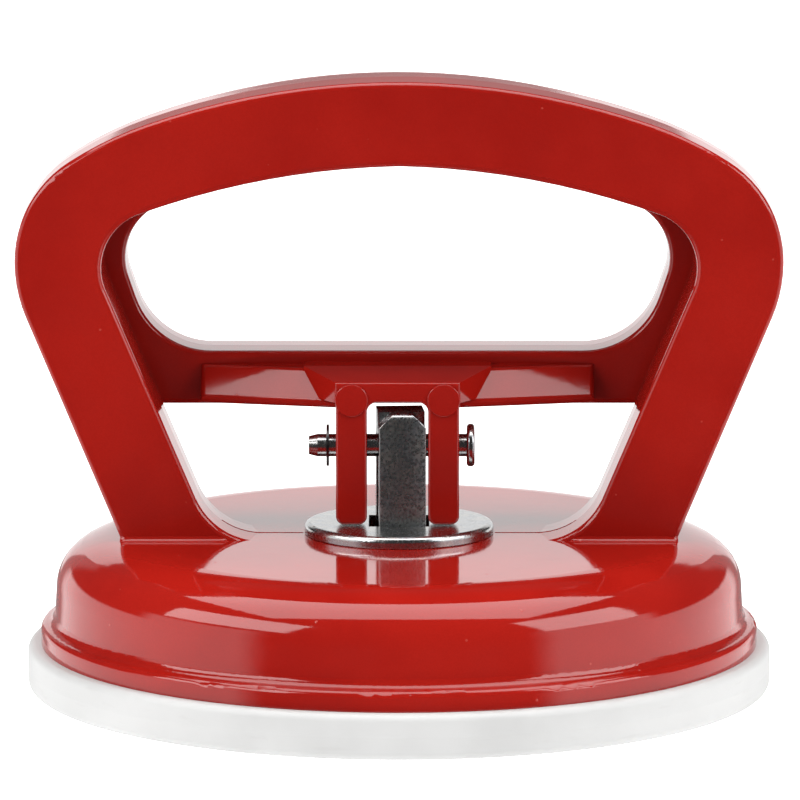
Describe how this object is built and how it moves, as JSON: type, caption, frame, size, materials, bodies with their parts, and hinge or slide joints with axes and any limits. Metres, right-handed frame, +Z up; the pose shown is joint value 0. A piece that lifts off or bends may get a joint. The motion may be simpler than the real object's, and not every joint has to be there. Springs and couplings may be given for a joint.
{
  "type": "vacuum suction cup lifter",
  "caption": "Hand vacuum lifter: round rubber suction cup under a dished metal housing with a fixed arch handle, and a hinged cam lever that lifts the cup's centre to draw the vacuum.",
  "frame": {"origin": "centre of the circle on which the suction cup's rim rests, on the surface it is set down on", "axes": "+Z up out of the surface through the handle, X along the handle's span, the lever stands on the +Y side of the fixed handle and tips back towards +Y"},
  "size_m": [0.121, 0.118, 0.0969],
  "materials": {
    "red_paint": "gloss",
    "zinc_steel": "satin",
    "spring_steel": "satin",
    "plain_steel": "satin",
    "white_rubber": "matte"
  },
  "bodies": {
    "root": {"housing": "red_paint", "wear_washer": "zinc_steel", "suction_cup": "white_rubber"},
    "pull_assembly": {"pull_strap": "zinc_steel", "strap_rivets": "plain_steel", "core_plate": "plain_steel", "pivot_pin": "zinc_steel", "retaining_clip": "spring_steel"},
    "lever": {"lever": "red_paint"}
  },
  "joints": [
    {"name": "cup_lift", "type": "slide", "parent": "root", "child": "pull_assembly", "axis": [0, 0, 1], "range_m": [-0.0026, 0], "deforming": ["suction_cup"]},
    {"name": "lever_pivot", "type": "hinge", "parent": "pull_assembly", "child": "lever", "pos_m": [0, 0, 0.0382], "axis": [-1, 0, 0], "range_deg": [0, 45]}
  ],
  "couplings": [
    {"joint": "cup_lift", "follows": "lever_pivot", "m_per_rad": -0.00331}
  ]
}
